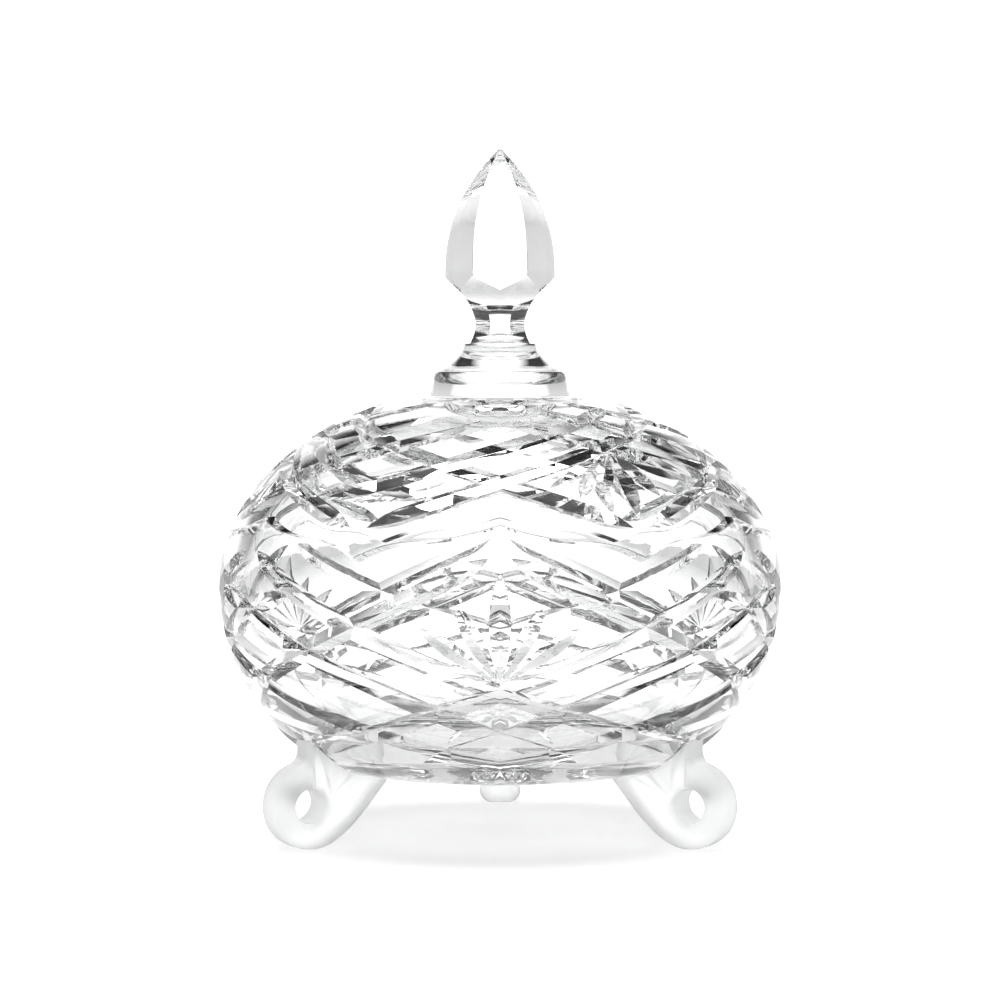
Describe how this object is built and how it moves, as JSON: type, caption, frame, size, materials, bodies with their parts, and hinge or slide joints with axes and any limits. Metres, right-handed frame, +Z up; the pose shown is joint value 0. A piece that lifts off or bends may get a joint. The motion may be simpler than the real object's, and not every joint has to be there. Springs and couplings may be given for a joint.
{
  "type": "powder jar",
  "caption": "Covered powder jar of heavy cut crystal: squat oval bowl on scrolled feet, domed lid with a wavy keyed rim and a pointed six-sided finial.",
  "frame": {"origin": "on the jar's axis at table level, under the middle of the bowl", "axes": "+Z up along the jar's axis, the way the lid lifts; -Y is the front, between the two front feet; +X to the viewer's right"},
  "size_m": [0.14, 0.14, 0.1709],
  "materials": {
    "cut_crystal": "clear, hand cut and polished",
    "polished_crystal": "clear, smooth polished",
    "satin_crystal": "satin, finely etched"
  },
  "bodies": {
    "bowl": {"bowl": "cut_crystal", "foot_left": "satin_crystal", "foot_right": "satin_crystal", "foot_back": "satin_crystal"},
    "lid": {"lid": "cut_crystal", "finial": "polished_crystal"}
  },
  "joints": [
    {"name": "lid_lift", "type": "slide", "parent": "bowl", "child": "lid", "axis": [0, 0, 1], "range_m": [0, 0.12]}
  ]
}
